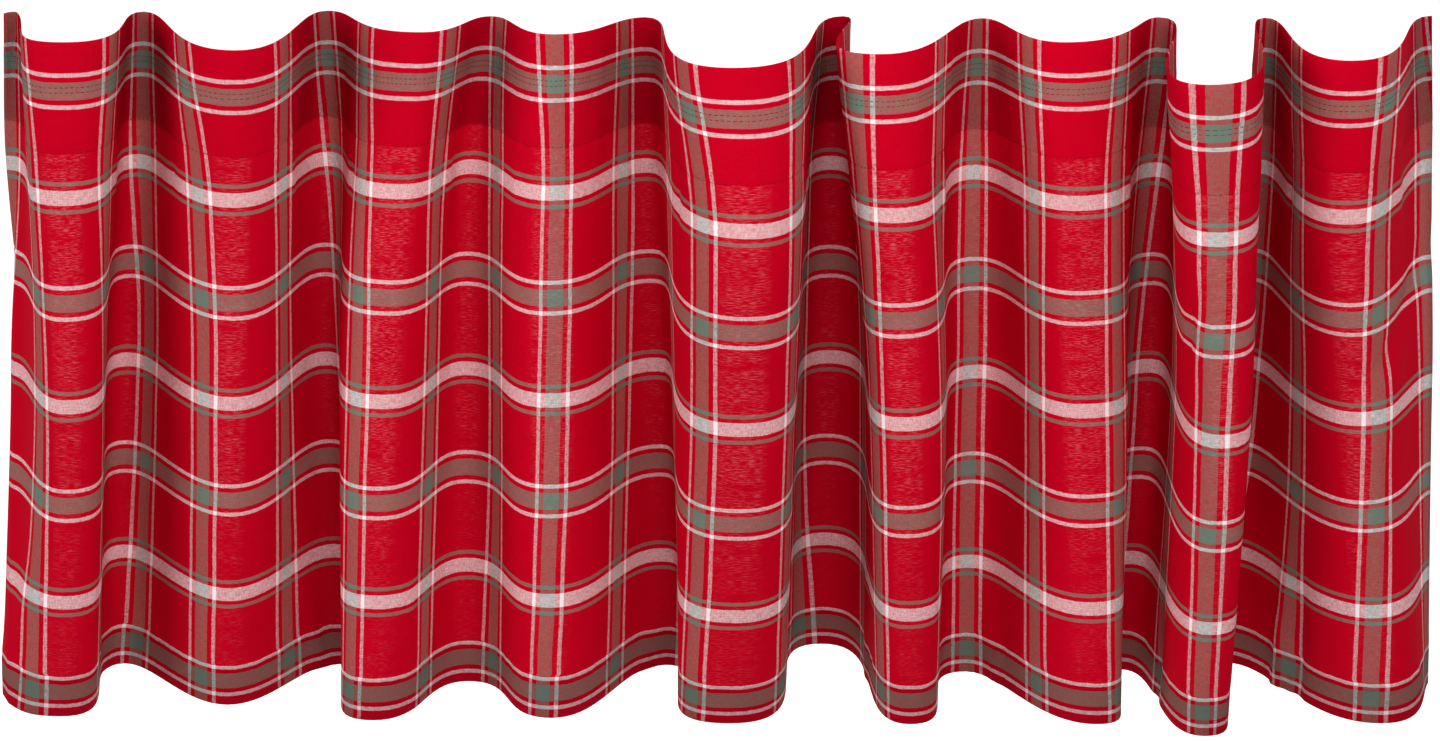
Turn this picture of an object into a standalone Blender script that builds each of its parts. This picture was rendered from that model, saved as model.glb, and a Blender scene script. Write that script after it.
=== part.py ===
# Window valance: a gathered strip of plaid cotton with a ruffled heading.
# One cut of cloth, so one solid. It hangs from its top edge: +X runs along the
# window, -Y faces the room, +Z is up. The top edge is at Z = 0 and the backs of
# the folds lie near Y = 0. Sizes are millimetres until placed().

import bpy
import numpy as np

MM = 0.001                      # metres in a millimetre

# ---- driving sizes ---------------------------------------------------------
DROP = 426.0                    # top edge to hem edge
CLOTH = 1.4                     # one layer of the cloth as built
TURNED = 2.4                    # where the cloth is turned under and lies double
POCKET_FOOT = 66.0              # top edge to the lower seam of the rod pocket
HEM_DEPTH = 26.0                # turned hem along the bottom
TURN_STEP = 1.5                 # height over which a turned edge thickens the cloth
STEPS_PER_TURN = 10             # facets between one turn of a fold and the next

# Heights, below the top edge, at which the fold tables are given.
TABLE_HEIGHTS = (0.0, 93.0, 220.0, DROP)     # heading, shoulder, waist, hem
REACH_HEIGHTS = (0.0, 220.0, DROP)           # heading, waist, hem

# Each row is one turn of the cloth, a crest toward the room or a valley toward
# the window, from left to right. across and out place the turn at the four
# table heights. course is the way the cloth runs there, in degrees from +X.
# reach_in and reach_out say how far the cloth keeps to that course before and
# after the turn; a long reach makes a steep flank, or one that folds back.
AHEAD = (0, 0, 0, 0)
COLUMNS = ("turn", "across", "out", "course", "reach_in", "reach_out")
FOLDS = (
    ("left side hem", (-413, -420, -421, -424), (6, 1, -10, -12), (-40, 10, 115, 175),
     (0, 0, 0), (4, 6, 8)),
    ("left return", (-406, -411, -424, -435), (5, 6, 8, 49), (68, 56, 30, 50),
     (4, 6, 24), (30, 18, 14)),
    ("crest 1", (-370, -377, -382, -400), (62, 63, 69, 66), AHEAD,
     (35, 22, 20), (46, 40, 42)),
    ("valley 1", (-333, -343, -357, -372), (3, -1, -5, -4), AHEAD,
     (18, 28, 32), (16, 20, 18)),
    ("crest 2", (-271, -277, -286, -301), (77, 67, 63, 51), AHEAD,
     (40, 32, 27), (34, 30, 28)),
    ("valley 2", (-227, -232, -238, -238), (1, -6, -7, -3), AHEAD,
     (18, 20, 24), (18, 24, 28)),
    ("crest 3", (-170, -184, -197, -210), (43, 52, 60, 71), AHEAD,
     (42, 48, 46), (24, 28, 32)),
    ("valley 3", (-132, -146, -153, -156), (12, 9, 9, 20), AHEAD,
     (14, 20, 28), (14, 28, 32)),
    ("crest 4", (-94, -98, -101, -102), (47, 54, 59, 68), AHEAD,
     (24, 32, 34), (28, 38, 32)),
    ("valley 4", (-43, -42, -37, -34), (14, 6, 3, -2), AHEAD,
     (18, 32, 28), (22, 20, 34)),
    ("crest 5", (7, 15, 14, 6), (109, 118, 103, 75), AHEAD,
     (56, 59, 64), (60, 54, 64)),
    ("valley 5", (71, 65, 65, 64), (12, 1, -9, -31), AHEAD,
     (28, 38, 48), (16, 42, 44)),
    ("crest 6", (89, 97, 105, 115), (84, 92, 93, 76), AHEAD,
     (51, 38, 38), (38, 46, 36)),
    ("valley 6", (151, 149, 154, 153), (16, 18, 14, 7), AHEAD,
     (20, 36, 38), (14, 24, 22)),
    ("crest 7", (194, 202, 211, 228), (62, 72, 74, 76), AHEAD,
     (28, 34, 38), (42, 54, 42)),
    ("valley 7", (252, 255, 259, 249), (14, 13, 5, 4), AHEAD,
     (12, 38, 38), (30, 20, 26)),
    ("crest 8", (266, 276, 287, 291), (139, 130, 118, 91), AHEAD,
     (52, 36, 32), (57, 46, 44)),
    ("valley 8", (313, 316, 317, 316), (15, 8, -1, -5), AHEAD,
     (18, 36, 46), (17, 20, 28)),
    ("crest 9", (350, 354, 370, 400), (96, 95, 86, 75), AHEAD,
     (40, 38, 48), (42, 28, 30)),
    ("right side hem", (410, 418, 424, 438), (11, 6, 27, 22), (0, 0, -25, -65),
     (22, 18, 18), (0, 0, 0)),
)

# Rows of facets down the cloth; the step at a turned edge sits between two.
ROWS = (0.0, 28.0, POCKET_FOOT - TURN_STEP, POCKET_FOOT, 93.0, 135.0, 180.0,
        220.0, 265.0, 310.0, 350.0, 385.0, DROP - HEM_DEPTH - TURN_STEP, DROP - HEM_DEPTH, DROP)


def smooth_column(heights, values, depth):
    """Value of one table column at a depth, on a curve that never overshoots."""
    h = np.array(heights, dtype=float)
    v = np.array(values, dtype=float)
    step = np.diff(h)
    rise = np.diff(v) / step
    slope = np.zeros(len(v))
    slope[0], slope[-1] = rise[0], rise[-1]
    for i in range(1, len(v) - 1):
        if rise[i - 1] * rise[i] > 0.0:
            slope[i] = 2.0 * rise[i - 1] * rise[i] / (rise[i - 1] + rise[i])
    i = min(max(int(np.searchsorted(h, depth)) - 1, 0), len(step) - 1)
    t = (depth - h[i]) / step[i]
    return (v[i] * (1.0 + 2.0 * t) * (1.0 - t) ** 2
            + slope[i] * step[i] * t * (1.0 - t) ** 2
            + v[i + 1] * t * t * (3.0 - 2.0 * t)
            + slope[i + 1] * step[i] * t * t * (t - 1.0))


def turn_at(row, depth):
    """One fold turn at a depth: its place, its course and its two reaches."""
    turn = dict(zip(COLUMNS, row))
    place = np.array([smooth_column(TABLE_HEIGHTS, turn["across"], depth),
                      smooth_column(TABLE_HEIGHTS, turn["out"], depth)])
    angle = np.radians(smooth_column(TABLE_HEIGHTS, turn["course"], depth))
    course = np.array([np.cos(angle), np.sin(angle)])
    reach_in = smooth_column(REACH_HEIGHTS, turn["reach_in"], depth)
    reach_out = smooth_column(REACH_HEIGHTS, turn["reach_out"], depth)
    return place, course * reach_in, course * reach_out


def plan_line(depth):
    """Face of the cloth in plan at a depth: one smooth line through the turns."""
    turns = [turn_at(row, depth) for row in FOLDS]
    line = []
    for (start, _, lead), (end, trail, _) in zip(turns[:-1], turns[1:]):
        for k in range(STEPS_PER_TURN):
            t = k / STEPS_PER_TURN
            line.append((1 - t) ** 3 * start + 3 * (1 - t) ** 2 * t * (start + lead)
                        + 3 * (1 - t) * t * t * (end - trail) + t ** 3 * end)
    line.append(turns[-1][0])
    return np.array(line)


def thickness_at(depth):
    """The cloth lies double above the pocket seam and within the hem."""
    if depth < POCKET_FOOT or depth > DROP - HEM_DEPTH - TURN_STEP:
        return TURNED
    return CLOTH


def back_line(line, thick):
    """The same plan line on the window side of the cloth."""
    run = np.gradient(line, axis=0)
    run /= np.linalg.norm(run, axis=1)[:, None]
    toward_window = np.stack([run[:, 1], -run[:, 0]], axis=1)
    return line + toward_window * thick


def placed(line, depth):
    """Plan points in millimetres as metres in the part's frame."""
    return [(x * MM, -out * MM, -depth * MM) for x, out in line]


def build_valance():
    """Two skins joined round the four edges, one closed body."""
    faces_out, faces_back = [], []
    for depth in ROWS:
        line = plan_line(depth)
        faces_out += placed(line, depth)
        faces_back += placed(back_line(line, thickness_at(depth)), depth)
    across = len(faces_out) // len(ROWS)
    down = len(ROWS)
    back = len(faces_out)
    quads = []
    for r in range(down - 1):
        for c in range(across - 1):
            a, b = r * across + c, r * across + c + 1
            d, e = a + across, b + across
            quads.append((a, d, e, b))
            quads.append((back + a, back + b, back + e, back + d))
    for c in range(across - 1):
        top, low = c, (down - 1) * across + c
        quads.append((top, top + 1, back + top + 1, back + top))
        quads.append((low, back + low, back + low + 1, low + 1))
    for r in range(down - 1):
        left, right = r * across, (r + 1) * across - 1
        quads.append((left, back + left, back + left + across, left + across))
        quads.append((right, right + across, back + right + across, back + right))
    mesh = bpy.data.meshes.new("valance_panel")
    mesh.from_pydata(faces_out + faces_back, [], quads)
    mesh.validate()
    mesh.update()
    panel = bpy.data.objects.new("valance_panel", mesh)
    bpy.context.scene.collection.objects.link(panel)
    for face in mesh.polygons:
        face.use_smooth = True
    return panel


def cotton_material():
    """Matt red cotton; the woven plaid is drawn by the finished look."""
    cotton = bpy.data.materials.new("plaid_cotton")
    cotton.use_nodes = True
    shader = cotton.node_tree.nodes["Principled BSDF"]
    shader.inputs["Base Color"].default_value = (0.38, 0.02, 0.03, 1.0)
    shader.inputs["Roughness"].default_value = 0.9
    shader.inputs["Metallic"].default_value = 0.0
    return cotton


def main():
    for thing in list(bpy.data.objects):
        bpy.data.objects.remove(thing, do_unlink=True)
    panel = build_valance()
    panel.data.materials.append(cotton_material())


main()
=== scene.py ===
"""Window valance: the look of one gathered plaid cotton cloth, in metres.

The cloth hangs from its top edge. +X runs along the window, -Y faces the room
and +Z is up; the top edge is at Z = 0. Tables are in millimetres.
"""
import logging
from dataclasses import dataclass
from enum import Enum
from math import radians

import bpy
import numpy as np
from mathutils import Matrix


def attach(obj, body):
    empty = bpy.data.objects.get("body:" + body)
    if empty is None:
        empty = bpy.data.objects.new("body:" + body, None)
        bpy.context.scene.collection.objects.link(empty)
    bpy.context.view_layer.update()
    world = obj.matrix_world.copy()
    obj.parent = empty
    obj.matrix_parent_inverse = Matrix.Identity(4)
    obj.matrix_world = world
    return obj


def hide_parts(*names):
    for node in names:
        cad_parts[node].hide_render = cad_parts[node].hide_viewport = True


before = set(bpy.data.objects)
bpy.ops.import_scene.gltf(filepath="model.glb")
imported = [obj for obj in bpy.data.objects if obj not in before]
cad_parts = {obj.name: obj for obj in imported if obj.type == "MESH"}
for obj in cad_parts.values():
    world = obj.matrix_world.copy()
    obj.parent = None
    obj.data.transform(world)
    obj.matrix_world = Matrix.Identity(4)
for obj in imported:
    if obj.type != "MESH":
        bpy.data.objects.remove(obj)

LOG = logging.getLogger("valance")
MM = 0.001
TURN = 6.2832                           # once round, in radians
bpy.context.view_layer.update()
Numbers = tuple[float, ...]


def linear(code: str) -> tuple[float, float, float, float]:
    """Turn an sRGB hex colour into a linear colour.

    Args:
        code: Six hex digits after a hash sign.

    Returns:
        Red, green, blue and alpha, linear.
    """
    channels = [int(code[i:i + 2], 16) / 255.0 for i in (1, 3, 5)]
    bent = [c / 12.92 if c <= 0.04045 else ((c + 0.055) / 1.055) ** 2.4 for c in channels]
    return (bent[0], bent[1], bent[2], 1.0)


def add_node(tree: bpy.types.NodeTree, kind: str, settings: dict[str, object] | None = None,
             inputs: dict[str | int, object] | None = None) -> bpy.types.Node:
    """Add a node with its settings and its inputs.

    Args:
        tree: The material's node tree.
        kind: Blender's name for the node type.
        settings: Values for the node's own properties.
        inputs: Values or output sockets for the node's input sockets.

    Returns:
        The new node.
    """
    node = tree.nodes.new(kind)
    for name, value in (settings or {}).items():
        setattr(node, name, value)
    for name, value in (inputs or {}).items():
        if isinstance(value, bpy.types.NodeSocket):
            tree.links.new(value, node.inputs[name])
        else:
            node.inputs[name].default_value = value
    return node


class Yarn(Enum):
    """The three dyed yarns of the check: hue, and how well each covers what crosses it."""

    RED = ("#c4001f", 1.0)
    WHITE = ("#fff2f3", 0.74)
    GREEN = ("#707e72", 1.0)

    def dye(self) -> tuple[float, float, float, float]:
        """The yarn's colour, linear, with its cover in place of alpha."""
        hue, cover = self.value
        return linear(hue)[:3] + (cover,)


@dataclass(frozen=True)
class Stripe:
    """A run of one yarn, from a distance to a distance off a band's middle, in mm."""

    yarn: Yarn
    start: float
    end: float


@dataclass(frozen=True)
class Sett:
    """The check's own measures, in mm, as a weaver would note them."""

    warp_repeat: float = 62.0           # one upright band to the next
    weft_repeat: float = 63.9           # one level band to the next, kinds in turn
    first_level_band: float = 28.9      # top edge to the middle of the first band
    upright: tuple[Stripe, ...] = (
        Stripe(Yarn.GREEN, 0.0, 4.8),
        Stripe(Yarn.RED, 4.8, 8.1),
        Stripe(Yarn.WHITE, 8.1, 10.5),
    )
    level_green: tuple[Stripe, ...] = (
        Stripe(Yarn.GREEN, 0.0, 5.0),
        Stripe(Yarn.RED, 5.0, 8.0),
        Stripe(Yarn.WHITE, 8.0, 10.6),
    )
    level_white: tuple[Stripe, ...] = (
        Stripe(Yarn.WHITE, 0.0, 4.5),
        Stripe(Yarn.RED, 4.5, 7.3),
        Stripe(Yarn.GREEN, 7.3, 9.9),
    )


class Side(Enum):
    """Which way the cloth's surface looks."""

    FACE = "face"
    BACK = "back"


@dataclass(frozen=True)
class Relief:
    """Fine relief: how strong, how high in mm, and noise cells per mm where noise makes it."""

    strength: float
    height_mm: float
    cells: Numbers = ()


@dataclass(frozen=True)
class YarnDyedCotton:
    """Yarn-dyed plain-weave cotton.

    Each yarn is dyed before it is woven, so where two bands cross the eye mixes
    them thread by thread: white over white is clean, white over red is pink. The
    weft packs closer than the warp and shows more. Slubs make short level flecks,
    and pale pinpricks of painted light stand for light through one layer. Painted
    shade darkens the colour where the cloth lies double and in the pocket's
    hollows, and the back is painted paler, a painted sheen.
    """

    sett: Sett = Sett()
    thread_mm: float = 0.5              # spacing of the threads, both ways
    weft_share: float = 0.60            # how much of the surface the weft covers
    edge_wander_mm: float = 0.35        # how far a stripe's edge strays
    edge_cells: Numbers = (0.35, 0.35, 0.35)        # that wander, cells per mm: 3 mm
    drift_mm: float = 1.6               # how far a whole band drifts off its line
    upright_drift: Numbers = (0.010, 0.020, 1.0)    # that drift, cells per mm
    level_drift: Numbers = (0.014, 0.006, 1.0)
    painted_shade_strength: float = 0.30         # painted shade: how much darker the colour is made where the cloth lies double
    slub_mm: float = 0.7                # thickness of a slub
    slub_pull: float = 0.85             # how far a slub tips the mix toward its own yarn
    cover_pull: float = 0.6             # how far the better covering yarn wins a crossing
    thread_contrast: float = 0.20       # how much of the over-and-under shows
    threads: Relief = Relief(0.25, 0.1)             # spaced by thread_mm
    slubs: Relief = Relief(0.35, 0.4, (0.15, 1.2, 1.0))
    crumple: Relief = Relief(0.30, 4.0, (0.05, 0.03, 1.0))
    roughness: float = 0.88
    specular: float = 0.02
    dash: Numbers = (0.24, 1.60, 1.0)   # level flecks, cells per mm: 4 mm wide, 0.6 mm high
    dash_range: Numbers = (0.48, 0.70)
    patch: Numbers = (0.05, 0.16, 1.0)  # looser patches, cells per mm: 20 mm wide, 6 mm high
    patch_range: Numbers = (0.30, 0.55)
    speck: Numbers = (0.9, 1.1, 1.0)    # seed specks, cells per mm: 1 mm
    speck_range: Numbers = (0.70, 0.76)
    speck_strength: float = 0.45
    # painted light: how strongly pale flecks of light through one layer are mixed into the colour
    painted_light_strength: float = 0.23
    painted_light_hue: str = "#f6a8b0"          # painted light through the open weave
    seed_hue: str = "#4c3a3c"           # seed coat left in the cotton
    # painted sheen: the back is mixed toward this pale pink, for grazing light on the reverse
    back_sheen_hue: str = "#e8c0c0"
    back_sheen_share: float = 0.14

    def material(self, side: Side) -> bpy.types.Material:
        """Make the cloth for one side.

        Args:
            side: The face, or the back, painted paler as a sheen.

        Returns:
            A material that reads the cloth's own UV map, in metres.
        """
        cloth = bpy.data.materials.new(f"yarn_dyed_plain_weave_cotton_{side.value}")
        cloth.use_nodes = True
        tree = cloth.node_tree
        tree.nodes.clear()
        uv = add_node(tree, "ShaderNodeUVMap", {"uv_map": "cloth"})
        flat = add_node(tree, "ShaderNodeVectorMath", {"operation": "SCALE"},
                        {0: uv.outputs[0], "Scale": 1.0 / MM})
        split = add_node(tree, "ShaderNodeSeparateXYZ", None, {0: flat.outputs[0]})
        across = self._drifted(tree, flat.outputs[0], split.outputs[0], self.upright_drift)
        down = self._drifted(tree, flat.outputs[0], split.outputs[1], self.level_drift)
        wander = self._noise(tree, flat.outputs[0], self.edge_cells, 3.0)
        stray = add_node(tree, "ShaderNodeMapRange", None, {
            0: wander, 3: -self.edge_wander_mm, 4: self.edge_wander_mm})
        warp = self._warp(tree, across, stray.outputs[0])
        weft = self._weft(tree, down, stray.outputs[0])
        over = self._over(tree, flat.outputs[0], warp, weft)
        woven = add_node(tree, "ShaderNodeMix", {"data_type": "RGBA"},
                         {0: over, 6: warp.outputs[0], 7: weft.outputs[0]})
        flecked_and_painted = self._flecks_and_painted_light(tree, flat.outputs[0], woven.outputs[2], side)
        bump = self._bump(tree, flat.outputs[0], across, down)
        shader = add_node(tree, "ShaderNodeBsdfPrincipled", None, {
            "Base Color": flecked_and_painted, "Roughness": self.roughness, "Normal": bump,
            "Specular IOR Level": self.specular})
        add_node(tree, "ShaderNodeOutputMaterial", None, {0: shader.outputs[0]})
        return cloth

    def _drifted(self, tree: bpy.types.NodeTree, flat: bpy.types.NodeSocket,
                 along: bpy.types.NodeSocket, scale: Numbers) -> bpy.types.NodeSocket:
        """A distance on the cloth with the slow drift of hand-hung yarns added.

        Args:
            tree: The material's node tree.
            flat: Flat place on the cloth, in mm.
            along: The distance, in mm.
            scale: Noise cells per mm each way.

        Returns:
            The drifted distance, in mm.
        """
        slow = self._noise(tree, flat, scale, 1.0)
        move = add_node(tree, "ShaderNodeMath", {"operation": "MULTIPLY_ADD"},
                        {0: slow, 1: self.drift_mm, 2: -0.5 * self.drift_mm})
        moved = add_node(tree, "ShaderNodeMath", {"operation": "ADD"},
                         {0: along, 1: move.outputs[0]})
        return moved.outputs[0]

    @staticmethod
    def _noise(tree: bpy.types.NodeTree, place: bpy.types.NodeSocket, scale: Numbers,
               detail: float) -> bpy.types.NodeSocket:
        """Noise stretched by a scale per mm each way.

        Args:
            tree: The material's node tree.
            place: Flat place on the cloth, in mm.
            scale: Noise cells per mm across, down and deep.
            detail: Octaves of the noise.

        Returns:
            The noise value, 0 to 1.
        """
        spread = add_node(tree, "ShaderNodeVectorMath", {"operation": "MULTIPLY"},
                          {0: place, 1: scale})
        noise = add_node(tree, "ShaderNodeTexNoise", None, {
            "Vector": spread.outputs[0], "Scale": 1.0, "Detail": detail})
        return noise.outputs[0]

    @staticmethod
    def _ramp(tree: bpy.types.NodeTree, value: bpy.types.NodeSocket, reach: float,
              stops: list[tuple[float, Yarn]]) -> bpy.types.Node:
        """Yarn colour by distance from a band's middle.

        Args:
            tree: The material's node tree.
            value: The distance, in mm.
            reach: The largest distance, in mm.
            stops: Where each yarn begins, in mm.

        Returns:
            The ramp: the yarn's colour, and its cover as alpha.
        """
        part = add_node(tree, "ShaderNodeMath", {"operation": "DIVIDE"}, {0: value, 1: reach})
        ramp = add_node(tree, "ShaderNodeValToRGB", None, {0: part.outputs[0]})
        ramp.color_ramp.interpolation = "CONSTANT"
        elements = ramp.color_ramp.elements
        while len(elements) > 1:
            elements.remove(elements[-1])
        elements[0].position = 0.0
        elements[0].color = stops[0][1].dye()
        for start, yarn in stops[1:]:
            stop = elements.new(start / reach)
            stop.color = yarn.dye()
        return ramp

    def _warp(self, tree: bpy.types.NodeTree, across: bpy.types.NodeSocket,
              stray: bpy.types.NodeSocket) -> bpy.types.Node:
        """Colour of the upright yarns.

        Args:
            tree: The material's node tree.
            across: Flat distance across the cloth, in mm.
            stray: How far the stripe's edge wanders, in mm.

        Returns:
            The ramp of the warp's colour and cover.
        """
        half = self.sett.warp_repeat / 2.0
        off = add_node(tree, "ShaderNodeMath", {"operation": "PINGPONG"}, {0: across, 1: half})
        strayed = add_node(tree, "ShaderNodeMath", {"operation": "ADD"},
                           {0: off.outputs[0], 1: stray})
        stops = [(s.start, s.yarn) for s in self.sett.upright]
        stops.append((self.sett.upright[-1].end, Yarn.RED))
        return self._ramp(tree, strayed.outputs[0], half, stops)

    def _weft(self, tree: bpy.types.NodeTree, down: bpy.types.NodeSocket,
              stray: bpy.types.NodeSocket) -> bpy.types.Node:
        """Colour of the level yarns, a green-middled band and a white-middled one in turn.

        Args:
            tree: The material's node tree.
            down: Flat distance below the top edge, in mm.
            stray: How far the stripe's edge wanders, in mm.

        Returns:
            The ramp of the weft's colour and cover.
        """
        gap = self.sett.weft_repeat
        from_first = add_node(tree, "ShaderNodeMath", {"operation": "SUBTRACT"},
                              {0: down, 1: self.sett.first_level_band})
        off = add_node(tree, "ShaderNodeMath", {"operation": "PINGPONG"},
                       {0: from_first.outputs[0], 1: gap})
        strayed = add_node(tree, "ShaderNodeMath", {"operation": "ADD"},
                           {0: off.outputs[0], 1: stray})
        stops = [(s.start, s.yarn) for s in self.sett.level_green]
        stops.append((self.sett.level_green[-1].end, Yarn.RED))
        stops += [(gap - s.end, s.yarn) for s in reversed(self.sett.level_white)]
        return self._ramp(tree, strayed.outputs[0], gap, stops)

    def _over(self, tree: bpy.types.NodeTree, flat: bpy.types.NodeSocket,
              warp: bpy.types.Node, weft: bpy.types.Node) -> bpy.types.NodeSocket:
        """Which yarn lies on top: over one, under one, less even where slubs bulge.

        Args:
            tree: The material's node tree.
            flat: Flat place on the cloth, in mm.
            warp: The ramp of the warp, its cover as alpha.
            weft: The ramp of the weft, its cover as alpha.

        Returns:
            1 where the weft is on top, 0 where the warp is.
        """
        checks = add_node(tree, "ShaderNodeTexChecker", None, {
            "Vector": flat, "Color1": (1.0, 1.0, 1.0, 1.0),
            "Color2": (0.0, 0.0, 0.0, 1.0), "Scale": 1.0 / self.thread_mm})
        level = self._noise(tree, flat, (0.25, 1.0 / self.slub_mm, 1.0), 2.0)
        upright = self._noise(tree, flat, (1.0 / self.slub_mm, 0.30, 1.0), 2.0)
        tilt = add_node(tree, "ShaderNodeMath", {"operation": "SUBTRACT"}, {0: level, 1: upright})
        share = add_node(tree, "ShaderNodeMath", {"operation": "MULTIPLY_ADD"},
                         {0: tilt.outputs[0], 1: self.slub_pull, 2: self.weft_share})
        cover = add_node(tree, "ShaderNodeMath", {"operation": "SUBTRACT"},
                         {0: weft.outputs[1], 1: warp.outputs[1]})
        covered = add_node(tree, "ShaderNodeMath", {"operation": "MULTIPLY_ADD"},
                           {0: cover.outputs[0], 1: self.cover_pull, 2: share.outputs[0]})
        mix = add_node(tree, "ShaderNodeMix", {"data_type": "FLOAT"}, {
            0: self.thread_contrast, 2: covered.outputs[0], 3: checks.outputs[1]})
        clamp = add_node(tree, "ShaderNodeClamp", None, {0: mix.outputs[0]})
        return clamp.outputs[0]

    def _flecks_and_painted_light(self, tree: bpy.types.NodeTree, flat: bpy.types.NodeSocket,
                colour: bpy.types.NodeSocket, side: Side) -> bpy.types.NodeSocket:
        """Level slubs with pale flecks of painted light, dark seed specks, the back's painted
        sheen, and painted shade where the cloth lies double.

        Args:
            tree: The material's node tree.
            flat: Flat place on the cloth, in mm.
            colour: The woven colour so far.
            side: The face or the back.

        Returns:
            The flecked colour, with its painted light, sheen and shade.
        """
        dash = self._noise(tree, flat, self.dash, 2.0)
        patch = self._noise(tree, flat, self.patch, 2.0)
        speck = self._noise(tree, flat, self.speck, 1.0)
        # painted light: pale flecks where one layer faces the room
        painted_light_share = add_node(tree, "ShaderNodeAttribute", {"attribute_name": "painted_light_through_weave"})
        fine = add_node(tree, "ShaderNodeMapRange", None, {
            0: dash, 1: self.dash_range[0], 2: self.dash_range[1]})
        loose = add_node(tree, "ShaderNodeMapRange", None, {
            0: patch, 1: self.patch_range[0], 2: self.patch_range[1]})
        both = add_node(tree, "ShaderNodeMath", {"operation": "MULTIPLY"},
                        {0: fine.outputs[0], 1: loose.outputs[0]})
        amount = add_node(tree, "ShaderNodeMath", {"operation": "MULTIPLY"},
                          {0: both.outputs[0], 1: painted_light_share.outputs["Fac"]})
        weak = add_node(tree, "ShaderNodeMath", {"operation": "MULTIPLY"},
                        {0: amount.outputs[0], 1: self.painted_light_strength})
        pale = add_node(tree, "ShaderNodeMix", {"data_type": "RGBA"}, {
            0: weak.outputs[0], 6: colour, 7: linear(self.painted_light_hue)})
        seed = add_node(tree, "ShaderNodeMapRange", None, {
            0: speck, 1: self.speck_range[0], 2: self.speck_range[1], 4: self.speck_strength})
        seeded = add_node(tree, "ShaderNodeMix", {"data_type": "RGBA"}, {
            0: seed.outputs[0], 6: pale.outputs[2], 7: linear(self.seed_hue)})
        # painted sheen: the back is made paler
        back_sheen_amount = 0.0 if side is Side.FACE else self.back_sheen_share
        painted_back_sheen = add_node(tree, "ShaderNodeMix", {"data_type": "RGBA"}, {
            0: back_sheen_amount, 6: seeded.outputs[2], 7: linear(self.back_sheen_hue)})
        # painted shade: the colour is darkened where the cloth lies double and in the pocket's
        # hollows
        painted_shade = add_node(tree, "ShaderNodeAttribute", {"attribute_name": "painted_shade"})
        shade = add_node(tree, "ShaderNodeMath", {"operation": "MULTIPLY_ADD"},
                         {0: painted_shade.outputs["Fac"], 1: -self.painted_shade_strength, 2: 1.0})
        dimmed = add_node(tree, "ShaderNodeVectorMath", {"operation": "SCALE"},
                          {0: painted_back_sheen.outputs[2], "Scale": shade.outputs[0]})
        return dimmed.outputs[0]

    def _bump(self, tree: bpy.types.NodeTree, flat: bpy.types.NodeSocket,
              across: bpy.types.NodeSocket, down: bpy.types.NodeSocket) -> bpy.types.NodeSocket:
        """Threads and slubs as fine relief.

        Args:
            tree: The material's node tree.
            flat: Flat place on the cloth, in mm.
            across: Flat distance across, in mm.
            down: Flat distance down, in mm.

        Returns:
            The bumped normal.
        """
        turn = TURN / self.thread_mm
        rise = []
        for run in (across, down):
            phase = add_node(tree, "ShaderNodeMath", {"operation": "MULTIPLY"}, {0: run, 1: turn})
            wave = add_node(tree, "ShaderNodeMath", {"operation": "SINE"}, {0: phase.outputs[0]})
            rise.append(wave.outputs[0])
        threads = add_node(tree, "ShaderNodeMath", {"operation": "MULTIPLY"},
                           {0: rise[0], 1: rise[1]})
        slub = self._noise(tree, flat, self.slubs.cells, 3.0)
        crumple = self._noise(tree, flat, self.crumple.cells, 3.0)
        fine = add_node(tree, "ShaderNodeBump", None, {
            "Strength": self.threads.strength, "Distance": self.threads.height_mm * MM,
            "Height": threads.outputs[0]})
        rough = add_node(tree, "ShaderNodeBump", None, {
            "Strength": self.slubs.strength, "Distance": self.slubs.height_mm * MM,
            "Height": slub, "Normal": fine.outputs[0]})
        soft = add_node(tree, "ShaderNodeBump", None, {
            "Strength": self.crumple.strength, "Distance": self.crumple.height_mm * MM,
            "Height": crumple, "Normal": rough.outputs[0]})
        return soft.outputs[0]


@dataclass(frozen=True)
class Turn:
    """One turn of the cloth, a crest toward the room or a valley toward the window.

    across, out, course and warp are given at the heading, shoulder, waist and hem;
    the reaches at the heading, waist and hem. warp counts upright bands from the
    cloth's left side hem.
    """

    name: str
    across: Numbers
    out: Numbers
    course: Numbers
    reach_in: Numbers
    reach_out: Numbers
    warp: Numbers


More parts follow.
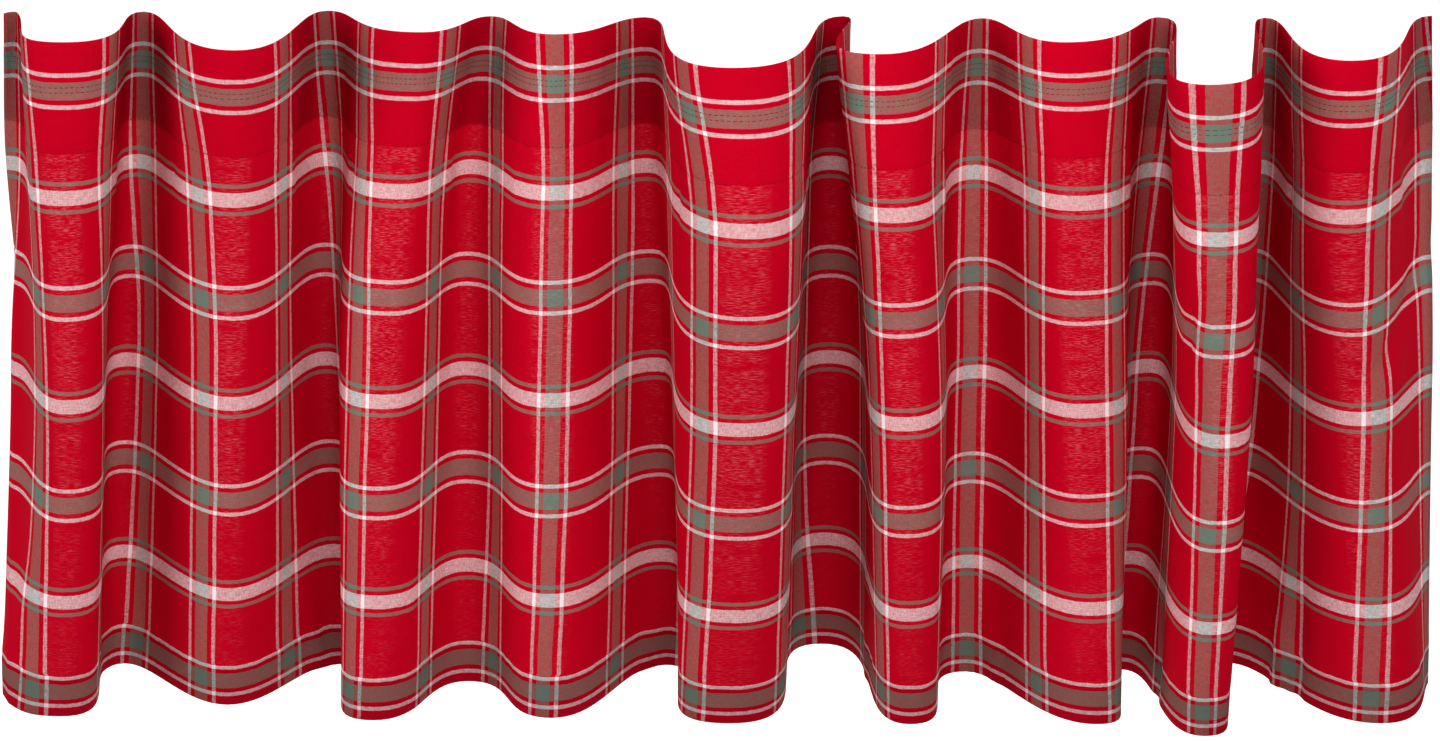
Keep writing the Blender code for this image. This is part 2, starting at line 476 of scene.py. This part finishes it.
AHEAD = (0.0, 0.0, 0.0, 0.0)
FOLDS: tuple[Turn, ...] = (
    Turn("left side hem", (-413, -420, -421, -424), (6, 1, -10, -12), (-40, 10, 115, 175),
         (0, 0, 0), (4, 6, 8), (0.92, 0.92, 0.92, 0.92)),
    Turn("left return", (-406, -411, -424, -435), (5, 6, 8, 49), (68, 56, 30, 50),
         (4, 6, 24), (30, 18, 14), (1.12, 1.16, 1.28, 1.70)),
    Turn("crest 1", (-370, -377, -382, -400), (62, 63, 69, 66), AHEAD,
         (35, 22, 20), (46, 40, 42), (2.50, 2.42, 2.36, 2.31)),
    Turn("valley 1", (-333, -343, -357, -372), (3, -1, -5, -4), AHEAD,
         (18, 28, 32), (16, 20, 18), (4.02, 3.92, 3.74, 3.86)),
    Turn("crest 2", (-271, -277, -286, -301), (77, 67, 63, 51), AHEAD,
         (40, 32, 27), (34, 30, 28), (5.52, 5.38, 5.30, 5.30)),
    Turn("valley 2", (-227, -232, -238, -238), (1, -6, -7, -3), AHEAD,
         (18, 20, 24), (18, 24, 28), (7.05, 6.86, 6.67, 6.60)),
    Turn("crest 3", (-170, -184, -197, -210), (43, 52, 60, 71), AHEAD,
         (42, 48, 46), (24, 28, 32), (8.64, 8.50, 8.34, 8.30)),
    Turn("valley 3", (-132, -146, -153, -156), (12, 9, 9, 20), AHEAD,
         (14, 20, 28), (14, 28, 32), (9.83, 9.60, 9.52, 9.70)),
    Turn("crest 4", (-94, -98, -101, -102), (47, 54, 59, 68), AHEAD,
         (24, 32, 34), (28, 38, 32), (11.00, 10.92, 10.95, 11.10)),
    Turn("valley 4", (-43, -42, -37, -34), (14, 6, 3, -2), AHEAD,
         (18, 32, 28), (22, 20, 34), (12.37, 12.33, 12.47, 12.75)),
    Turn("crest 5", (7, 15, 14, 6), (109, 118, 103, 75), AHEAD,
         (56, 59, 64), (60, 54, 64), (14.42, 14.43, 14.42, 14.42)),
    Turn("valley 5", (71, 65, 65, 64), (12, 1, -9, -31), AHEAD,
         (28, 38, 48), (16, 42, 44), (16.50, 16.40, 16.40, 16.20)),
    Turn("crest 6", (89, 97, 105, 115), (84, 92, 93, 76), AHEAD,
         (51, 38, 38), (38, 46, 36), (18.20, 18.31, 18.33, 18.40)),
    Turn("valley 6", (151, 149, 154, 153), (16, 18, 14, 7), AHEAD,
         (20, 36, 38), (14, 24, 22), (20.08, 20.02, 20.08, 20.00)),
    Turn("crest 7", (194, 202, 211, 228), (62, 72, 74, 76), AHEAD,
         (28, 34, 38), (42, 54, 42), (21.36, 21.50, 21.58, 21.72)),
    Turn("valley 7", (252, 255, 259, 249), (14, 13, 5, 4), AHEAD,
         (12, 38, 38), (30, 20, 26), (22.95, 23.12, 23.30, 23.20)),
    Turn("crest 8", (266, 276, 287, 291), (139, 130, 118, 91), AHEAD,
         (52, 36, 32), (57, 46, 44), (24.95, 25.00, 25.10, 25.05)),
    Turn("valley 8", (313, 316, 317, 316), (15, 8, -1, -5), AHEAD,
         (18, 36, 46), (17, 20, 28), (26.90, 26.95, 27.00, 27.20)),
    Turn("crest 9", (350, 354, 370, 400), (96, 95, 86, 75), AHEAD,
         (40, 38, 48), (42, 28, 30), (28.66, 28.68, 28.80, 29.12)),
    Turn("right side hem", (410, 418, 424, 438), (11, 6, 27, 22), (0, 0, -25, -65),
         (22, 18, 18), (0, 0, 0), (30.22, 30.05, 30.05, 30.08)),
)


@dataclass(frozen=True)
class Crease:
    """A soft ridge or trough in the cloth, in mm; a negative rise is a trough."""

    warp: float             # where it lies, in upright bands from the left
    depth: float            # middle of it, below the top edge
    length: float
    width: float
    lean: float             # degrees from plumb, clockwise as seen from the room
    rise: float


CREASES: tuple[Crease, ...] = (
    # folds that the gathers press into the cloth under the pocket seam
    Crease(2.05, 84.0, 50.0, 5.0, 4.0, 1.2),
    Crease(3.35, 90.0, 60.0, 5.0, -6.0, 1.4),
    Crease(4.55, 82.0, 44.0, 4.0, 3.0, -1.1),
    Crease(6.20, 92.0, 70.0, 5.0, -5.0, 1.5),
    Crease(7.75, 86.0, 50.0, 4.5, 6.0, -1.2),
    Crease(9.25, 90.0, 60.0, 5.0, -4.0, 1.4),
    Crease(10.45, 84.0, 40.0, 4.0, 2.0, 1.0),
    Crease(12.05, 92.0, 64.0, 5.0, -3.0, 1.4),
    Crease(13.50, 86.0, 50.0, 5.0, 8.0, -1.3),
    Crease(15.85, 88.0, 56.0, 5.0, -6.0, 1.3),
    Crease(17.45, 84.0, 48.0, 4.5, 5.0, -1.2),
    Crease(19.20, 92.0, 66.0, 5.0, -5.0, 1.6),
    Crease(20.75, 86.0, 44.0, 4.0, 4.0, -1.0),
    Crease(22.30, 90.0, 58.0, 5.0, -4.0, 1.4),
    Crease(26.15, 88.0, 52.0, 4.5, 3.0, 1.2),
    Crease(27.80, 92.0, 60.0, 5.0, 5.0, -1.3),
    Crease(29.35, 88.0, 60.0, 5.0, -8.0, 1.5),
    # crest 8 breaks where its left flank meets its front
    Crease(24.74, 152.0, 62.0, 5.0, 12.0, -2.6),
    Crease(24.93, 160.0, 44.0, 4.0, 12.0, 1.2),
    # crest 9 is pressed in on a slant
    Crease(29.45, 168.0, 110.0, 9.0, 52.0, -2.6),
    Crease(29.15, 215.0, 120.0, 10.0, 20.0, 1.6),
    # the hem breaks in the valleys
    Crease(1.75, 372.0, 100.0, 11.0, 18.0, 2.2),
    Crease(3.62, 398.0, 80.0, 6.0, -6.0, 2.0),
    Crease(6.38, 404.0, 70.0, 5.5, -10.0, 2.4),
    Crease(8.72, 372.0, 90.0, 8.0, -8.0, 1.8),
    Crease(12.60, 400.0, 80.0, 7.0, 6.0, 2.0),
    Crease(17.20, 396.0, 90.0, 7.0, 6.0, 2.0),
    Crease(20.30, 402.0, 70.0, 6.0, -8.0, 1.8),
    Crease(24.02, 402.0, 90.0, 6.0, 4.0, -3.0),
    Crease(27.86, 402.0, 110.0, 5.0, 2.0, 4.5),
    Crease(28.16, 402.0, 110.0, 5.0, 2.0, -3.2),
)


@dataclass
class FoldPlan:
    """Where every point of the cloth hangs, from the fold table."""

    folds: tuple[Turn, ...] = FOLDS
    drop: float = 426.0
    shoulder: float = 93.0
    waist: float = 220.0
    crowding: float = 0.3               # how much the gathers crowd cloth off the crests

    def column(self, values: Numbers, depth: float) -> float:
        """Value of one table column at a depth, on a curve that never overshoots.

        Args:
            values: Four values, or three where the shoulder is left out.
            depth: Distance below the top edge, in mm.

        Returns:
            The value at that depth.
        """
        heights = (0.0, self.shoulder, self.waist, self.drop)
        if len(values) == 3:
            heights = (0.0, self.waist, self.drop)
        h = np.array(heights)
        v = np.array(values, dtype=float)
        step = np.diff(h)
        rise = np.diff(v) / step
        slope = np.zeros(len(v))
        slope[0], slope[-1] = rise[0], rise[-1]
        for i in range(1, len(v) - 1):
            if rise[i - 1] * rise[i] > 0.0:
                slope[i] = 2.0 * rise[i - 1] * rise[i] / (rise[i - 1] + rise[i])
        i = min(max(int(np.searchsorted(h, depth)) - 1, 0), len(step) - 1)
        t = (depth - h[i]) / step[i]
        return float(v[i] * (1.0 + 2.0 * t) * (1.0 - t) ** 2
                     + slope[i] * step[i] * t * (1.0 - t) ** 2
                     + v[i + 1] * t * t * (3.0 - 2.0 * t)
                     + slope[i + 1] * step[i] * t * t * (t - 1.0))

    def line(self, depth: float, shares: list[int]) -> tuple[np.ndarray, np.ndarray]:
        """The cloth in plan at a depth.

        Args:
            depth: Distance below the top edge, in mm.
            shares: How many steps each stretch between turns takes.

        Returns:
            Points across and out, in mm, and the warp count at each.
        """
        places, leads, trails, counts = [], [], [], []
        for turn in self.folds:
            angle = radians(self.column(turn.course, depth))
            course = np.array([np.cos(angle), np.sin(angle)])
            places.append(np.array([self.column(turn.across, depth), self.column(turn.out, depth)]))
            trails.append(course * self.column(turn.reach_in, depth))
            leads.append(course * self.column(turn.reach_out, depth))
            counts.append(self.column(turn.warp, depth))
        points, warps = [], []
        fall = min(depth / self.shoulder, 1.0)
        crowd = self.crowding * (1.0 - fall * fall * (3.0 - 2.0 * fall))
        for k, steps in enumerate(shares):
            p0, p3 = places[k], places[k + 1]
            p1, p2 = p0 + leads[k], p3 - trails[k + 1]
            t = np.linspace(0.0, 1.0, 8 * steps + 1)[:, None]
            curve = ((1 - t) ** 3 * p0 + 3 * (1 - t) ** 2 * t * p1
                     + 3 * (1 - t) * t * t * p2 + t ** 3 * p3)
            run = np.concatenate([[0.0], np.cumsum(np.hypot(*np.diff(curve, axis=0).T))])
            even = np.linspace(0.0, run[-1], steps + 1)[:-1]
            points.append(np.stack([np.interp(even, run, curve[:, 0]),
                                    np.interp(even, run, curve[:, 1])], axis=1))
            share = even / run[-1]
            rising = 1.0 if places[k + 1][1] > places[k][1] else -1.0
            share = share + rising * crowd * np.sin(np.pi * share) / np.pi
            warps.append(counts[k] + (counts[k + 1] - counts[k]) * share)
        points.append(places[-1][None, :])
        warps.append(np.array([counts[-1]]))
        return np.concatenate(points), np.concatenate(warps)


@dataclass
class ValancePanel:
    """The one cloth: its face, the pocket facing turned to its back, and its hem."""

    plan: FoldPlan
    sett: Sett = Sett()
    cloth_mm: float = 0.5               # thickness of the cloth
    layer_mm: float = 0.9               # face of one layer to face of the next
    heading_mm: float = 27.0            # top edge to the upper seam
    twin_mm: float = 3.0                # the heading is sewn twice, this far apart
    pocket_foot_mm: float = 66.0        # top edge to the lower seam
    hem_mm: float = 26.0                # turned hem
    roping_mm: float = 1.3              # how far the hem's turn drags its yarns aside
    facing_mm: float = 70.0             # cloth turned to the back at the top
    take_up_mm: float = 3.3             # cloth the hem's fold draws in above it
    cut_width: float = 1.83             # metres, side hem to side hem
    columns: int = 400
    pucker: Numbers = (0.30, 0.30, 0.60, 0.45)      # strength of the puckers, seam by seam
    pucker_reach_mm: float = 9.0        # how far above and below its seam a pucker runs
    groove: float = -0.4                # how far a seam sinks, times its pucker's strength
    groove_mm: float = 1.4              # half width of that groove
    square_to_room: Numbers = (0.86, 0.12)          # cosine from which the painted light shows through
    light_depths: Numbers = (240.0, 330.0)          # mm down, where that painted light fades
    light_shares: Numbers = (1.0, 0.3)              # how much of it is left there
    pocket_painted_shade: float = 1.25          # painted shade of the pocket's hollows, against the hem's
    hollow_mm: float = 52.0             # cloth nearer the window than this is in a hollow
    hollow_run_mm: float = 40.0         # and this much farther back it is deep in it

    def path(self) -> tuple[np.ndarray, np.ndarray, np.ndarray]:
        """The way down the cloth, from the facing's edge over the top to the hem's turn.

        Returns:
            Depth below the top edge, set back from the face, and flat distance
            down the cloth from the top edge, each in mm.
        """
        facing = np.linspace(self.facing_mm, 1.5, 12)
        seams = [seam + step for seam in self.seams() for step in (-3.0, -1.2, 0.0, 1.2, 3.0)]
        front = np.array(sorted(list(np.linspace(1.0, self.plan.drop - 0.8, 78)) + seams))
        front = front[np.concatenate([[True], np.diff(front) > 0.7])]
        drawn = np.clip((front - 350.0) / 60.0, 0.0, 1.0)
        drawn = self.take_up_mm * drawn * drawn * (3.0 - 2.0 * drawn)
        turn = np.linspace(self.plan.drop - 1.2, self.plan.drop - self.hem_mm, 6)
        depth = np.concatenate([facing, [0.3, 0.0, 0.3], front,
                                [self.plan.drop - 0.2, self.plan.drop, self.plan.drop - 0.2], turn])
        back = np.concatenate([np.full(len(facing), self.layer_mm), [0.8, 0.45, 0.1],
                               np.zeros(len(front)), [0.1, 0.45, 0.8],
                               np.full(len(turn), self.layer_mm)])
        foot = self.plan.drop + self.take_up_mm
        run = np.concatenate([-facing, [-0.3, 0.0, 0.3], front + drawn,
                              [foot - 0.2, foot, foot + 0.2], foot + self.plan.drop - turn])
        return depth, back, run

    def seams(self) -> Numbers:
        """Depths of the heading's two seams, the pocket's foot and the hem's seam, in mm."""
        return (self.heading_mm, self.heading_mm + self.twin_mm, self.pocket_foot_mm,
                self.plan.drop - self.hem_mm)

    def shares(self) -> list[int]:
        """Share the columns out by how much cloth each stretch between turns takes.

        Returns:
            How many columns each stretch takes.
        """
        counts = [self.plan.column(turn.warp, self.plan.waist) for turn in self.plan.folds]
        cloth = np.diff(counts)
        return [max(4, int(round(self.columns * c / cloth.sum()))) for c in cloth]

    def relief(self, warp: np.ndarray, depth: float) -> np.ndarray:
        """Small forms that stand on the folds: seam puckers and listed creases.

        Args:
            warp: Warp count at each point.
            depth: Distance below the top edge, in mm.

        Returns:
            Rise toward the room at each point, in mm.
        """
        across = warp * self.sett.warp_repeat
        rise = np.zeros_like(across)
        for seam, strength in zip(self.seams(), self.pucker):
            near = np.exp(-((depth - seam) / self.pucker_reach_mm) ** 2)
            wave = (np.sin(across / 2.3 + 1.7 * np.sin(across / 17.0))
                    + 0.6 * np.sin(across / 3.9 + 2.1))
            groove = self.groove * np.exp(-((depth - seam) / self.groove_mm) ** 2)
            rise += strength * (0.5 * near * wave + groove)
        for crease in CREASES:
            x = across - crease.warp * self.sett.warp_repeat
            y = depth - crease.depth
            lean = radians(crease.lean)
            along = y * np.cos(lean) - x * np.sin(lean)
            off = x * np.cos(lean) + y * np.sin(lean)
            rise += crease.rise * np.exp(-(off / crease.width) ** 2) * np.exp(
                -(along / (0.5 * crease.length)) ** 2)
        return rise

    def painted_shade(self, out: np.ndarray, depth: float) -> np.ndarray:
        """How much painted shade darkens the cloth where it lies double: all along the hem, and in
        the pocket's hollows.

        Args:
            out: How far each point stands into the room, in mm.
            depth: Distance below the top edge, in mm.

        Returns:
            0 where one layer hangs, 1 in the hem, a little more deep in the pocket.
        """
        hem = min(max((depth - self.plan.drop + self.hem_mm) / 3.0 + 0.5, 0.0), 1.0)
        pocket = min(max((self.pocket_foot_mm - depth) / 3.0 + 0.5, 0.0), 1.0)
        hollow = np.clip((self.hollow_mm - out) / self.hollow_run_mm, 0.0, 1.0)
        return hem + self.pocket_painted_shade * pocket * hollow

    def painted_light_share(self, way: np.ndarray, out: np.ndarray, depth: float) -> np.ndarray:
        """Where pale flecks of painted light show through the weave: most where one layer hangs
        square to the room.

        Args:
            way: Direction of the cloth in plan at each point, of length one.
            out: How far each point stands into the room, in mm.
            depth: Distance below the top edge, in mm.

        Returns:
            0 to 1 at each point.
        """
        start, span = self.square_to_room
        square = np.clip((way[:, 0] - start) / span, 0.0, 1.0)
        lit = 0.45 + 0.55 * np.clip((out - 5.0) / 40.0, 0.0, 1.0)
        single = float(self.pocket_foot_mm + 1.0 < depth < self.plan.drop - self.hem_mm - 1.0)
        high = float(np.interp(depth, self.light_depths, self.light_shares))
        return square * square * (3.0 - 2.0 * square) * lit * single * high

    def strip(self, depth: float, back: float,
              shares: list[int]) -> tuple[np.ndarray, np.ndarray, np.ndarray]:
        """One level line of the cloth.

        Args:
            depth: Distance below the top edge, in mm.
            back: How far it is set back from the face, in mm.
            shares: How many steps each stretch between turns takes.

        Returns:
            Points across and out, the way the cloth runs at each, and the warp count.
        """
        line, warp = self.plan.line(depth, shares)
        way = np.gradient(line, axis=0)
        way /= np.linalg.norm(way, axis=1)[:, None]
        room = np.stack([-way[:, 1], way[:, 0]], axis=1)
        place = line + room * (self.relief(warp, depth) - back)[:, None]
        return place, way, warp

    def build(self) -> bpy.types.Object:
        """Hang the cloth.

        Returns:
            The cloth's object, with its thickness applied.
        """
        depth, back, run = self.path()
        shares = self.shares()
        grid, uvs, painted_light_shares, painted_shade = [], [], [], []
        for d, b, r in zip(depth, back, run):
            place, way, warp = self.strip(float(d), float(b), shares)
            across = warp * self.sett.warp_repeat
            if r > self.plan.drop - self.hem_mm:
                across = across + self.roping_mm * np.sin(across / 37.0 + 1.2)
            grid.append(np.column_stack([place[:, 0], -place[:, 1], np.full(len(place), -d)]) * MM)
            uvs.append(np.column_stack([across, np.full(len(place), r)]) * MM)
            # painted light share and painted shade, point by point
            painted_light_shares.append(self.painted_light_share(way, place[:, 1], float(d)))
            painted_shade.append(self.painted_shade(place[:, 1], float(d)))
        down, wide = len(grid), len(grid[0])
        points = np.concatenate(grid)
        flat = np.concatenate(uvs)
        corners = []
        for r in range(down - 1):
            for c in range(wide - 1):
                a = r * wide + c
                corners.append((a, a + wide, a + wide + 1, a + 1))
        mesh = bpy.data.meshes.new("valance_cloth")
        mesh.from_pydata(points.tolist(), [], corners)
        layer = mesh.uv_layers.new(name="cloth")
        order = np.array(corners).reshape(-1)
        layer.data.foreach_set("uv", flat[order].reshape(-1))
        # painted light: where the pale flecks show
        weave = mesh.attributes.new("painted_light_through_weave", "FLOAT", "POINT")
        weave.data.foreach_set("value", np.concatenate(painted_light_shares))
        # painted shade: where the colour is darkened, in the hem and the pocket's hollows
        painted_shade_attribute = mesh.attributes.new("painted_shade", "FLOAT", "POINT")
        painted_shade_attribute.data.foreach_set("value", np.concatenate(painted_shade))
        mesh.update()
        cloth = bpy.data.objects.new("valance_cloth", mesh)
        bpy.context.scene.collection.objects.link(cloth)
        for polygon in mesh.polygons:
            polygon.use_smooth = True
        return cloth

    def thicken(self, cloth: bpy.types.Object) -> None:
        """Give the sheet its thickness, toward the window.

        Args:
            cloth: The sheet.
        """
        bpy.ops.object.select_all(action="DESELECT")
        bpy.context.view_layer.objects.active = cloth
        cloth.select_set(True)
        shell = cloth.modifiers.new("thickness", "SOLIDIFY")
        shell.thickness = self.cloth_mm * MM
        shell.offset = -1.0
        shell.material_offset = 1
        shell.material_offset_rim = 0
        bpy.ops.object.modifier_apply(modifier=shell.name)

    def dress(self, cloth: bpy.types.Object, cotton: YarnDyedCotton) -> None:
        """Lay the woven check on the cloth, its back painted a little paler, a painted sheen.

        Args:
            cloth: The sheet.
            cotton: The finish.
        """
        cloth.data.materials.append(cotton.material(Side.FACE))
        cloth.data.materials.append(cotton.material(Side.BACK))

    def make(self, cotton: YarnDyedCotton, sewn: bpy.types.Object) -> bpy.types.Object:
        """Args:
            cotton: The finish.
            sewn: The stitching that lies on it; not used.

        Returns:
            The finished piece.
        """
        cloth = self.build()
        self.dress(cloth, cotton)
        self.thicken(cloth)
        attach(cloth, "root")
        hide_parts("valance_panel")
        LOG.info("cloth: %d faces", len(cloth.data.polygons))
        return cloth


@dataclass(frozen=True)
class SewingThread:
    """Matt spun sewing thread in a deeper red than the cloth; the deeper red is partly painted
    shade, for the shadow in the seam's groove.
    """

    # partly painted shade: the thread is darkened for the shadow in the seam's groove
    hue: str = "#6e0814"
    twist_hue: str = "#8a0a1a"
    roughness: float = 0.8

    def material(self) -> bpy.types.Material:
        """Make the thread, a little lighter along its twist.

        Returns:
            A material that reads Object coordinates.
        """
        thread = bpy.data.materials.new("spun_polyester_sewing_thread")
        thread.use_nodes = True
        tree = thread.node_tree
        shader = tree.nodes["Principled BSDF"]
        place = add_node(tree, "ShaderNodeTexCoord")
        twist = add_node(tree, "ShaderNodeTexNoise", None, {
            "Vector": place.outputs["Object"], "Scale": 2500.0, "Detail": 2.0})
        tint = add_node(tree, "ShaderNodeMix", {"data_type": "RGBA"}, {
            0: twist.outputs[0], 6: linear(self.hue), 7: linear(self.twist_hue)})
        tree.links.new(tint.outputs[2], shader.inputs["Base Color"])
        shader.inputs["Roughness"].default_value = self.roughness
        shader.inputs["Specular IOR Level"].default_value = 0.05
        return thread


@dataclass
class Stitching:
    """Machine stitches along the heading's two seams and the pocket's foot.

    The hem is blind-stitched from behind, so its thread does not show.
    """

    panel: ValancePanel
    pitch_mm: float = 2.7               # one needle hole to the next
    length_mm: float = 2.2
    width_mm: float = 0.34
    height_mm: float = 0.22

    def stitches(self, depth: float) -> tuple[np.ndarray, np.ndarray]:
        """Both ends of each stitch in a row, on the cloth's face.

        Args:
            depth: Distance below the top edge, in mm.

        Returns:
            Start and end points across and out, in mm.
        """
        place, _, warp = self.panel.strip(depth, 0.0, self.panel.shares())
        run = warp * self.panel.sett.warp_repeat
        starts = np.arange(run[0] + 3.0, run[-1] - 5.0, self.pitch_mm)
        ends = starts + self.length_mm
        rows = [np.column_stack([np.interp(at, run, place[:, 0]), np.interp(at, run, place[:, 1])])
                for at in (starts, ends)]
        return rows[0], rows[1]

    def make(self, thread: SewingThread) -> bpy.types.Object:
        """Args:
            thread: The finish.

        Returns:
            The finished piece.
        """
        points, faces = [], []
        for depth in self.panel.seams()[:-1]:
            for start, end in zip(*self.stitches(depth)):
                way = (end - start) / np.linalg.norm(end - start)
                room = np.array([-way[1], way[0]])
                first = len(points)
                for share, lift in ((0.0, -0.15), (0.22, 1.0), (0.78, 1.0), (1.0, -0.15)):
                    middle = start + (end - start) * share
                    if lift < 0.0:
                        sunk = middle + room * lift
                        points.append((sunk[0], -sunk[1], -depth))
                        continue
                    for out, up in ((0.0, -0.5), (1.0, -0.25), (1.0, 0.25), (0.0, 0.5)):
                        corner = middle + room * out * self.height_mm
                        points.append((corner[0], -corner[1], -depth + up * self.width_mm))
                ring, last = [first + k for k in range(1, 5)], first + 9
                for k in range(4):
                    a, b = ring[k], ring[(k + 1) % 4]
                    faces += [(first, b, a), (a, b, b + 4, a + 4), (a + 4, b + 4, last)]
        mesh = bpy.data.meshes.new("valance_stitching")
        mesh.from_pydata((np.array(points) * MM).tolist(), [], faces)
        mesh.materials.append(thread.material())
        stitching = bpy.data.objects.new("valance_stitching", mesh)
        bpy.context.scene.collection.objects.link(stitching)
        bpy.ops.object.select_all(action="DESELECT")
        bpy.context.view_layer.objects.active = stitching
        stitching.select_set(True)
        bpy.ops.object.mode_set(mode="EDIT")
        bpy.ops.mesh.select_all(action="SELECT")
        bpy.ops.mesh.normals_make_consistent(inside=False)
        bpy.ops.object.mode_set(mode="OBJECT")
        bpy.ops.object.shade_smooth()
        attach(stitching, "root")
        LOG.info("stitching: %d faces", len(mesh.polygons))
        return stitching


@dataclass(frozen=True)
class SoftBox:
    """A square soft light: its place and its width in metres, and its power in watts."""

    name: str
    place: Numbers
    size: float
    power: float


@dataclass
class Studio:
    """A pale floor that glows behind the cloth, soft boxes all aimed at it, and the camera."""

    boxes: tuple[SoftBox, ...] = (
        SoftBox("left_soft_box", (-2.55, -1.20, 0.80), 1.6, 37.5),
        SoftBox("front_soft_box", (0.25, -1.25, 0.95), 1.2, 23.5),
        SoftBox("right_soft_box", (2.55, -1.20, 0.80), 1.6, 13.0),
        SoftBox("top_soft_box", (0.0, -1.27, 2.50), 1.6, 11.5),
    )
    aim: Numbers = (0.0, 0.0, -0.22)    # the cloth's middle, where the soft boxes look
    surround: float = 0.10              # light from all round
    floor_z: float = -1.30
    lens_mm: float = 90.0
    camera_at: Numbers = (0.0, -2.003, 0.608)
    camera_dip: float = 22.6            # degrees below level

    def floor(self) -> None:
        """Lay the plain pale floor."""
        bpy.ops.mesh.primitive_plane_add(size=40.0, location=(0.0, 0.0, self.floor_z))
        ground = bpy.context.object
        ground.name = "studio_floor"
        paint = bpy.data.materials.new("matt_white_studio_floor")
        paint.use_nodes = True
        shader = paint.node_tree.nodes["Principled BSDF"]
        shader.inputs["Base Color"].default_value = linear("#f8f8f8")
        shader.inputs["Roughness"].default_value = 0.95
        shader.inputs["Emission Color"].default_value = (1.0, 1.0, 1.0, 1.0)
        tree = paint.node_tree
        place = add_node(tree, "ShaderNodeTexCoord")
        split = add_node(tree, "ShaderNodeSeparateXYZ", None, {0: place.outputs["Object"]})
        glow = add_node(tree, "ShaderNodeMapRange", None, {
            0: split.outputs[1], 1: 0.2, 2: 0.8, 3: 0.0, 4: 1.0})
        tree.links.new(glow.outputs[0], shader.inputs["Emission Strength"])
        ground.data.materials.append(paint)

    def lamp(self, box: SoftBox) -> None:
        """Hang one soft light.

        Args:
            box: The light's place, size and power.
        """
        data = bpy.data.lights.new(box.name, "AREA")
        data.shape = "SQUARE"
        data.size = box.size
        data.energy = box.power
        lamp = bpy.data.objects.new(box.name, data)
        lamp.location = box.place
        way = np.array(self.aim) - np.array(box.place)
        flat = float(np.hypot(way[0], way[1]))
        tip = float(np.arctan2(flat, -way[2]))
        turn = float(np.arctan2(-way[0], way[1]))
        lamp.rotation_euler = (tip, 0.0, turn)
        bpy.context.scene.collection.objects.link(lamp)

    def lights(self) -> None:
        """Set the soft lights and the pale surround."""
        for box in self.boxes:
            self.lamp(box)
        world = bpy.data.worlds.new("pale_surround")
        world.use_nodes = True
        sky = world.node_tree.nodes["Background"]
        sky.inputs[0].default_value = (1.0, 1.0, 1.0, 1.0)
        sky.inputs[1].default_value = self.surround
        bpy.context.scene.world = world
        bpy.context.scene.view_settings.view_transform = "Standard"

    def camera(self) -> None:
        """Stand the camera in front, a little above and looking down."""
        data = bpy.data.cameras.new("camera")
        data.lens = self.lens_mm
        data.sensor_width = 36.0
        data.sensor_fit = "HORIZONTAL"
        eye = bpy.data.objects.new("camera", data)
        eye.location = self.camera_at
        eye.rotation_euler = (radians(90.0 - self.camera_dip), 0.0, 0.0)
        bpy.context.scene.collection.objects.link(eye)
        bpy.context.scene.camera = eye


def main() -> None:
    """Build the pieces in order and report each."""
    logging.basicConfig(level=logging.INFO, format="%(message)s")
    studio = Studio()
    studio.camera()
    panel = ValancePanel(FoldPlan())
    sewn = Stitching(panel).make(SewingThread())
    panel.make(YarnDyedCotton(), sewn)
    studio.floor()
    studio.lights()


if __name__ == "__main__":
    main()
